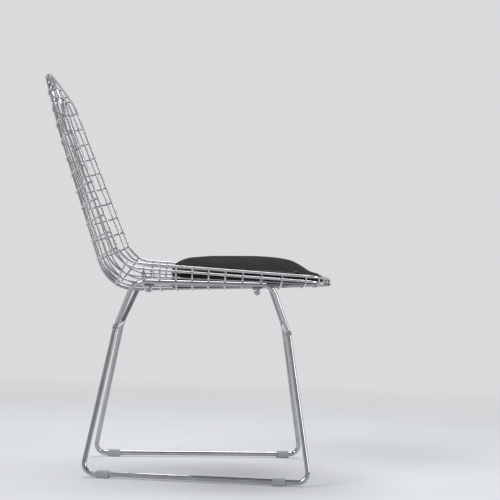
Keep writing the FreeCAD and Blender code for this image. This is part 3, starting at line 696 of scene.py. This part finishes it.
def stitch_tree():
    """Short round stitches, end to end with a gap, along an edge loop."""
    tree, given, result = new_tree("stitches", [
        ("Length", "NodeSocketFloat", 0.004),
        ("Thickness", "NodeSocketFloat", 0.0005),
        ("Material", "NodeSocketMaterial", None),
    ])
    line = add(tree, "GeometryNodeMeshToCurve", {"Mesh": given.outputs["Geometry"]})
    spaced = add(tree, "GeometryNodeResampleCurve", {
        "Curve": line.outputs["Curve"],
        "Length": given.outputs["Length"],
    }, mode="LENGTH")
    grain = add(tree, "GeometryNodeMeshUVSphere", {
        "Segments": 6,
        "Rings": 5,
        "Radius": given.outputs["Thickness"],
    })
    ratio = add(tree, "ShaderNodeMath", {
        0: given.outputs["Length"],
        1: given.outputs["Thickness"],
    }, operation="DIVIDE")
    reach = add(tree, "ShaderNodeMath", {
        0: ratio.outputs["Value"],
        1: STITCH_REACH,
    }, operation="MULTIPLY")
    scale = add(tree, "ShaderNodeCombineXYZ", {"X": 1, "Y": 1, "Z": reach.outputs["Value"]})
    tangent = add(tree, "GeometryNodeInputTangent")
    aligned = add(tree, "FunctionNodeAlignRotationToVector", {
        "Vector": tangent.outputs["Tangent"],
    }, axis="Z")
    placed = add(tree, "GeometryNodeInstanceOnPoints", {
        "Points": spaced.outputs["Curve"],
        "Instance": grain.outputs["Mesh"],
        "Rotation": aligned.outputs["Rotation"],
        "Scale": scale.outputs["Vector"],
    })
    end_tree(tree, given, result, placed.outputs["Instances"])
    return tree


def grown(name, seed_mesh, tree, sizes):
    """The mesh that a geometry tree makes of a seed mesh, as a piece."""
    holder = new_piece(name + "_seed", seed_mesh)
    modifier = holder.modifiers.new("Nodes", "NODES")
    modifier.node_group = tree
    for item in tree.interface.items_tree:
        if item.in_out == "INPUT" and item.name in sizes:
            modifier[item.identifier] = sizes[item.name]
    mesh = plain_mesh(holder, name)
    bpy.data.objects.remove(holder)
    return new_piece(name, mesh)


# Where wires touch

def contact(one, other, guess):
    """The place near the guess where two surfaces come closest, or None if they stay apart."""
    for _ in range(CONTACT_STEPS):
        on_one = one.find_nearest(guess)[0]
        on_other = other.find_nearest(on_one)[0]
        guess = (on_one + on_other) / 2
    return guess if (on_one - on_other).length <= CONTACT_GAP else None


def wire_contacts():
    """Where cross wires touch long wires, and where the ends of both touch the rims."""
    surfaces = {name: surface_of(name) for name in LONG_WIRES + CROSS_WIRES + RIMS}
    found = []
    for cross in CROSS_WIRES:
        corners = corners_of(cross)
        for long in LONG_WIRES:
            low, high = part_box(long)
            middle = (low[1] + high[1]) / 2
            guess = min(corners, key=lambda co: abs(co.y - middle))
            if abs(guess.y - middle) < CROSSING_REACH:
                found.append(contact(surfaces[long], surfaces[cross], guess))
    for name in CROSS_WIRES + LONG_WIRES:
        corners = corners_of(name)
        if name in CROSS_WIRES:
            ends = [min(corners, key=lambda co: co.y), max(corners, key=lambda co: co.y)]
        else:
            ends = [max(corners, key=lambda co: co.x), max(corners, key=lambda co: co.z)]
        for end in ends:
            for rim in RIMS:
                found.append(contact(surfaces[rim], surfaces[name], end))
    return [point for point in found if point]


def leg_end(rod, middle_x, middle_z, radius):
    """Where a leg's axis meets the axis of the knee rod, and the way the leg runs from there."""
    corners = corners_of(rod)
    sides = [
        co.y for co in corners
        if Vector((co.x - middle_x, co.z - middle_z)).length < radius * LEG_END
    ]
    knee = Vector((middle_x, (min(sides) + max(sides)) / 2, middle_z))
    distances = [(co - knee).length for co in corners]
    start = radius * LEG_SLICE
    end = min(distance for distance in distances if distance > start) + LEG_SLICE_DEPTH
    ring = [co for co, distance in zip(corners, distances) if start < distance < end]
    return knee, (sum(ring, Vector()) / len(ring) - knee).normalized()


def ring_path(knee, along, radius):
    """Points round a leg, each where the leg's surface meets the knee rod's."""
    across = (Vector((0, 1, 0)) - along * along.y).normalized()
    aside = along.cross(across)
    # Seen along the knee rod, a line up the leg leaves the rod's circle where a quadratic is zero
    run = Vector((along.x, along.z))
    square = run.dot(run)
    path = []
    for step in range(RING_POINTS):
        angle = math.tau * step / RING_POINTS
        spot = (across * math.cos(angle) + aside * math.sin(angle)) * radius
        flat = Vector((spot.x, spot.z))
        half = flat.dot(run)
        rest = flat.dot(flat) - (radius * RING_PROUD) ** 2
        reach = (-half + math.sqrt(max(0.0, half * half - square * rest))) / square
        path.append(knee + spot * RING_PROUD + along * reach)
    return path


def knee_welds(thickness):
    """A lumpy ring of weld round each end of each leg, where it meets a knee rod."""
    vertices = []
    faces = []
    for end in ("front", "rear"):
        low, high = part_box(end + "_knee_rod")
        middle_x = (low[0] + high[0]) / 2
        middle_z = (low[2] + high[2]) / 2
        radius = (high[2] - low[2]) / 2
        for side in ("left", "right"):
            for rod in ("saddle", "sled"):
                knee, along = leg_end("%s_%s_rod" % (side, rod), middle_x, middle_z, radius)
                path = ring_path(knee, along, radius)
                ring = tube_along("knee_weld", path, thickness, RING_LUMPS)
                start = len(vertices)
                vertices += [tuple(vertex.co) for vertex in ring.vertices]
                faces += [[start + index for index in face.vertices] for face in ring.polygons]
                bpy.data.meshes.remove(ring)
    mesh = bpy.data.meshes.new("knee_welds")
    mesh.from_pydata(vertices, [], faces)
    smooth(mesh)
    return mesh


# The pad

def smoothly(share):
    """From 0 to 1 with a soft start and a soft end."""
    return share * share * (3 - 2 * share)


def eased(share):
    """From -1 to 1, with the steps closer together at both ends."""
    return share * (1.5 - 0.5 * share * share)


def rounded(share):
    """From 0 to 1 along a quarter of a circle."""
    return math.sqrt(1 - (1 - share) ** 2)


def seat_pad_form(settings):
    """Closed mesh of the cover: a top and a bottom sheet that meet in the seam.

    Also gives the vertices of the seam and of the row of stitches, each in order round the pad.
    """
    surface = surface_of("seat_pad")
    low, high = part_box("seat_pad")
    middle = (low[0] + high[0]) / 2
    half_x = (high[0] - low[0]) / 2 - settings.margin
    half_y = high[1] - settings.margin
    square = settings.squareness

    def edge_heights(x, y):
        """Lower and upper side of the kept space here, or nearest to here towards the middle."""
        for step in range(LOOK_STEPS):
            near = 1 - LOOK_STEP * step
            spot = (middle + (x - middle) * near, y * near)
            above = surface.ray_cast(Vector((*spot, LOOK_DOWN_FROM)), Vector((0, 0, -1)))[0]
            if above:
                below = surface.ray_cast(Vector((*spot, LOOK_UP_FROM)), Vector((0, 0, 1)))[0]
                return below.z, above.z
        raise ValueError("the pad reaches past its space")

    def plan(s, t):
        """Place of a point of the square grid on the floor plan, and how near it is to the edge."""
        ring = max(abs(s), abs(t))
        if not ring:
            return middle, 0.0, 0.0
        shrink = ring / (abs(s) ** square + abs(t) ** square) ** (1 / square)
        s *= shrink
        t *= shrink
        width = half_y * (1 - settings.taper * abs(s) ** TAPER_POWER) - settings.waist * (1 - s * s)
        return middle + half_x * (s - END_WAIST * s * (1 - t * t)), width * t, ring

    def trim(x):
        """Height of the top over its plain crown."""
        share = (x - low[0]) / (high[0] - low[0])
        for (start, first), (end, second) in zip(PAD_TRIM, PAD_TRIM[1:]):
            if share <= end:
                part = max(0.0, (share - start) / (end - start))
                return first + (second - first) * smoothly(part)
        return PAD_TRIM[-1][1]

    def seam_height(x, y, toward_end):
        """Height of the seam at a place on the edge."""
        under, over = edge_heights(x, y)
        share = settings.side_seam + (settings.end_seam - settings.side_seam) * toward_end
        height = under + (over - under) * share
        forward = min(1.0, max(0.0, (x - LIFT_START) / LIFT_RUN))
        height += settings.side_lift * (1 - toward_end) * smoothly(forward)
        if y < 0:
            away = (x - settings.hump_forward) / HUMP_LENGTH
            height += settings.hump * math.exp(-away * away) * (1 - toward_end)
        return height

    def pucker(s, t, inside):
        """How far the folds along the seam lower the top."""
        angle = math.atan2(t, s)
        drift = sum(size * math.sin(count * angle) for size, count in PUCKER_DRIFT)
        wave = math.cos(settings.puckers * angle + drift)
        fading = math.exp(-((inside - PUCKER_PLACE) / PUCKER_BREADTH) ** 2)
        return settings.pucker_depth * (0.5 + 0.5 * wave) * fading

    def placed(s, t, sheet):
        """Place of a point of the square grid on the top or the bottom sheet."""
        x, y, ring = plan(s, t)
        under, over = edge_heights(x, y)
        rim = 1 / ring if ring else 1
        rim_x, rim_y, _ = plan(s * rim, t * rim)
        ahead = s ** CORNER_POWER
        toward_end = ahead / (ahead + t ** CORNER_POWER + TINY)
        seam = seam_height(rim_x, rim_y, toward_end)
        width = settings.side_roll + (settings.end_roll - settings.side_roll) * toward_end
        inside = (1 - ring) * min(half_x, half_y)
        if sheet == "bottom":
            share = min(1.0, inside / (width * UNDER_ROLL))
            return x, y, seam + (under - seam) * rounded(share)
        share = min(1.0, inside / width)
        z = seam + (over - seam) * rounded(share) - pucker(s, t, inside)
        z += (trim(x) - settings.slack) * min(1.0, inside / CROWN_RUN)
        dents = noise.noise(Vector((x * DENT_SCALE[0], y * DENT_SCALE[1], DENT_LAYER)))
        return x, y, z + DENT_DEPTH * dents * share

    steps_x, steps_y = PAD_GRID
    verts = []
    faces = []
    rows = {}
    for sheet in ("top", "bottom"):
        for i in range(steps_x + 1):
            for j in range(steps_y + 1):
                if sheet == "bottom" and (i in (0, steps_x) or j in (0, steps_y)):
                    rows[sheet, i, j] = rows["top", i, j]
                    continue
                rows[sheet, i, j] = len(verts)
                verts.append(placed(eased(2 * i / steps_x - 1), eased(2 * j / steps_y - 1), sheet))
        for i in range(steps_x):
            for j in range(steps_y):
                around = ((i, j), (i + 1, j), (i + 1, j + 1), (i, j + 1))
                quad = [rows[sheet, across, along] for across, along in around]
                faces.append(quad if sheet == "top" else quad[::-1])

    def round_the_pad(inset):
        """Vertices of the top along a loop this many grid lines inside the seam."""
        far_x = steps_x - inset
        far_y = steps_y - inset
        order = [(i, inset) for i in range(inset, far_x)]
        order += [(far_x, j) for j in range(inset, far_y)]
        order += [(i, far_y) for i in range(far_x, inset, -1)]
        order += [(inset, j) for j in range(far_y, inset, -1)]
        return [rows["top", i, j] for i, j in order]

    mesh = bpy.data.meshes.new("pad_cover")
    mesh.from_pydata(verts, [], faces)
    mesh.update()
    return mesh, round_the_pad(0), round_the_pad(STITCH_ROW)


def filled(mesh, swell):
    """Lets the filling push the cover out for a moment: cloth under pressure.

    The seam and the underside are held, and no point moves further than the swell.
    """
    holder = new_piece("pad_trial", mesh.copy())
    held = holder.vertex_groups.new(name="held")
    for vertex in mesh.vertices:
        if vertex.normal.z < HELD_LEAN:
            held.add([vertex.index], 1.0, "REPLACE")
    cloth = holder.modifiers.new("Cloth", "CLOTH")
    for name, value in PAD_CLOTH.items():
        setattr(cloth.settings, name, value)
    cloth.settings.vertex_group_mass = "held"
    cloth.settings.effector_weights.gravity = 0
    cloth.collision_settings.use_collision = False
    cloth.point_cache.frame_start = 1
    cloth.point_cache.frame_end = FILLING_FRAMES
    scene = bpy.context.scene
    for number in range(1, FILLING_FRAMES + 1):
        scene.frame_set(number)
    after = plain_mesh(holder, "pad_after")
    bpy.data.objects.remove(holder)
    for vertex, pushed in zip(mesh.vertices, after.vertices):
        move = pushed.co - vertex.co
        if move.length > swell:
            move = move.normalized() * swell
        vertex.co = vertex.co + move
    bpy.data.meshes.remove(after)
    scene.frame_set(1)
    mesh.update()


# Operators

def look():
    return bpy.context.scene.wire_chair_finish


class CHAIR_OT_shell(bpy.types.Operator):
    """Polishes the rims and the long and cross wires, with painted light on the rims and painted
    shade on the wires: one chrome, painted lighter and darker
    """
    bl_idname = "wire_chair.shell"
    bl_label = "Shell"

    def execute(self, context):
        finish = look()
        # Painted light and shade: the rims get a lighter copy of the chrome and the wires get a
        # darker one.
        rim_lit_chrome = polished_wire(
            "rim_chrome_painted_light", tone(finish.chrome, RIM_PAINTED_LIGHT), finish.chrome_gloss, haze=0.05)
        mesh_shaded_chrome = polished_wire(
            "mesh_chrome_painted_shade", tone(finish.chrome, MESH_PAINTED_SHADE), finish.chrome_gloss * MESH_ROUGHER,
            haze=0.07)
        wear(RIMS, rim_lit_chrome)
        wear(LONG_WIRES + CROSS_WIRES, mesh_shaded_chrome)
        return {"FINISHED"}


class CHAIR_OT_base(bpy.types.Operator):
    """Polishes the sleds, the saddles and the knee rods"""
    bl_idname = "wire_chair.base"
    bl_label = "Base"

    def execute(self, context):
        finish = look()
        colour = tone(finish.chrome, ROD_TONE)
        wear(RODS, polished_wire("rod_chrome", colour, finish.chrome_gloss, haze=0.06))
        return {"FINISHED"}


class CHAIR_OT_fittings(bpy.types.Operator):
    """Finishes the straps, brackets and screws"""
    bl_idname = "wire_chair.fittings"
    bl_label = "Fittings"

    def execute(self, context):
        finish = look()
        wear(STRAPS + BRACKETS, brushed_steel("fitting_steel", finish.steel))
        wear(SCREWS, brushed_steel("screw_steel", tone(finish.steel, SCREW_TONE)))
        return {"FINISHED"}


class CHAIR_OT_glides(bpy.types.Operator):
    """Frosts the four glides"""
    bl_idname = "wire_chair.glides"
    bl_label = "Glides"

    def execute(self, context):
        wear(GLIDES, frosted_plastic("glide_plastic", look().plastic))
        return {"FINISHED"}


class CHAIR_OT_welds(bpy.types.Operator):
    """Puts a bead where wires touch and a lumpy ring where a leg meets a knee rod"""
    bl_idname = "wire_chair.welds"
    bl_label = "Welds"

    def execute(self, context):
        settings = context.scene.wire_chair_welds
        metal = weld_metal("weld_chrome", look().chrome)
        seeds = bpy.data.meshes.new("weld_points")
        seeds.from_pydata([tuple(point) for point in wire_contacts()], [], [])
        beads = grown("weld_beads", seeds, bead_tree(), {
            "Radius": settings.bead,
            "Seed": settings.seed,
            "Material": metal,
        })
        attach(beads, "root")
        rings = new_piece("knee_welds", knee_welds(settings.collar), metal)
        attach(rings, "root")
        return {"FINISHED"}


class CHAIR_OT_pad(bpy.types.Operator):
    """Makes the pad: leather cover, welt in the seam and a row of stitches beside it"""
    bl_idname = "wire_chair.pad"
    bl_label = "Pad"

    def execute(self, context):
        settings = context.scene.wire_chair_pad
        finish = look()
        leather = black_leather(
            "pad_leather", finish.leather, finish.grain, COVER_ROUGHNESS, COVER_SPECULAR)
        piping = black_leather(
            "welt_leather", finish.leather, finish.grain * WELT_GRAIN,
            WELT_ROUGHNESS, WELT_SPECULAR)
        mesh, seam, stitched = seat_pad_form(settings)
        filled(mesh, settings.swell)
        cover = new_piece("seat_pad_cover", mesh, leather)
        smooth(mesh)
        fine = cover.modifiers.new("Fine", "SUBSURF")
        fine.levels = 1
        fine.render_levels = 1
        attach(cover, "root")
        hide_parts("seat_pad")

        loop = [mesh.vertices[index].co.copy() for index in seam]
        tube = tube_along("seat_pad_welt", loop, settings.welt / 2)
        welt = new_piece("seat_pad_welt", tube, piping)
        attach(welt, "root")

        row = bpy.data.meshes.new("stitch_row")
        under_thread = [mesh.vertices[index] for index in stitched]
        points = [vertex.co + vertex.normal * STITCH_LIFT for vertex in under_thread]
        row.from_pydata(points, [(i, (i + 1) % len(points)) for i in range(len(points))], [])
        stitches = grown("seat_pad_stitches", row, stitch_tree(), {
            "Length": settings.stitch,
            "Thickness": STITCH_RADIUS,
            "Material": linen_thread("pad_thread"),
        })
        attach(stitches, "root")
        return {"FINISHED"}


class CHAIR_OT_stage(bpy.types.Operator):
    """Sets the floor, the tone of the studio, the lamps and the camera"""
    bl_idname = "wire_chair.stage"
    bl_label = "Stage"

    def execute(self, context):
        settings = context.scene.wire_chair_stage
        context.scene.view_settings.view_transform = "Standard"
        self.lay_floor(settings)
        self.light(context.scene, settings)
        self.set_camera(context.scene, settings)
        return {"FINISHED"}

    def lay_floor(self, settings):
        mesh = bpy.data.meshes.new("floor")
        corners = ((-1, -1), (1, -1), (1, 1), (-1, 1))
        verts = [(x * FLOOR_REACH, y * FLOOR_REACH, -FLOOR_DROP) for x, y in corners]
        mesh.from_pydata(verts, [], [(0, 1, 2, 3)])
        paper = plain_floor("floor_paper", settings.floor, settings.backdrop, settings.near_side)
        floor = new_piece("floor", mesh, paper)

    def light(self, scene, settings):
        world = bpy.data.worlds.new("studio")
        scene.world = world
        world.use_nodes = True
        tree = world.node_tree
        around, upward = studio_tone(tree, settings.backdrop, settings.near_side)
        overhead = ranged(tree, upward, 0, 1, *CEILING_RANGE)
        sky = mixed(tree, overhead, around, (*settings.ceiling, 1))
        tree.links.new(sky, tree.nodes["Background"].inputs["Color"])

        for name, place, size, power in LAMPS:
            data = bpy.data.lights.new(name, "AREA")
            data.shape = "RECTANGLE"
            data.size, data.size_y = size
            data.energy = power
            lamp = new_piece(name, data)
            lamp.location = place
            aim = Vector(LAMP_TARGET) - Vector(place)
            lamp.rotation_euler = aim.to_track_quat("-Z", "Y").to_euler()

    def set_camera(self, scene, settings):
        data = bpy.data.cameras.new("camera")
        data.sensor_width = SENSOR_WIDTH
        data.lens = settings.lens
        data.shift_x, data.shift_y = settings.shift
        data.clip_end = CLIP_END
        camera = new_piece("camera", data)
        ahead = Vector((
            math.sin(settings.yaw) * math.cos(settings.pitch),
            math.cos(settings.yaw) * math.cos(settings.pitch),
            math.sin(settings.pitch),
        ))
        right = Vector((math.cos(settings.yaw), -math.sin(settings.yaw), 0))
        down = ahead.cross(right)
        leaning = right * math.cos(settings.roll) + down * math.sin(settings.roll)
        upward = right * math.sin(settings.roll) - down * math.cos(settings.roll)
        turn = Matrix((leaning, upward, -ahead)).transposed().to_4x4()
        camera.matrix_world = Matrix.Translation(settings.eye) @ turn
        scene.camera = camera


class CHAIR_PT_panel(bpy.types.Panel):
    """Every step of the wire chair"""
    bl_idname = "CHAIR_PT_panel"
    bl_label = "Wire chair"
    bl_space_type = "VIEW_3D"
    bl_region_type = "UI"
    bl_category = "Wire chair"

    def draw(self, context):
        for step in STEPS:
            self.layout.operator(step.bl_idname)
        for group, kind in GROUPS.items():
            box = self.layout.box()
            settings = getattr(context.scene, group)
            for name in kind.__annotations__:
                box.prop(settings, name)


GROUPS = {
    "wire_chair_finish": ChairFinish,
    "wire_chair_pad": ChairPad,
    "wire_chair_welds": ChairWelds,
    "wire_chair_stage": ChairStage,
}
STEPS = (
    CHAIR_OT_stage,
    CHAIR_OT_shell,
    CHAIR_OT_base,
    CHAIR_OT_fittings,
    CHAIR_OT_glides,
    CHAIR_OT_welds,
    CHAIR_OT_pad,
)


def register():
    for group in GROUPS.values():
        bpy.utils.register_class(group)
    for step in STEPS:
        bpy.utils.register_class(step)
    bpy.utils.register_class(CHAIR_PT_panel)
    for name, group in GROUPS.items():
        setattr(bpy.types.Scene, name, PointerProperty(type=group))


def unregister():
    for name in GROUPS:
        delattr(bpy.types.Scene, name)
    bpy.utils.unregister_class(CHAIR_PT_panel)
    for step in reversed(STEPS):
        bpy.utils.unregister_class(step)
    for group in reversed(list(GROUPS.values())):
        bpy.utils.unregister_class(group)


def main():
    register()
    bpy.ops.wire_chair.stage()
    bpy.ops.wire_chair.shell()
    bpy.ops.wire_chair.base()
    bpy.ops.wire_chair.fittings()
    bpy.ops.wire_chair.glides()
    bpy.ops.wire_chair.welds()
    bpy.ops.wire_chair.pad()


if __name__ == "__main__":
    main()
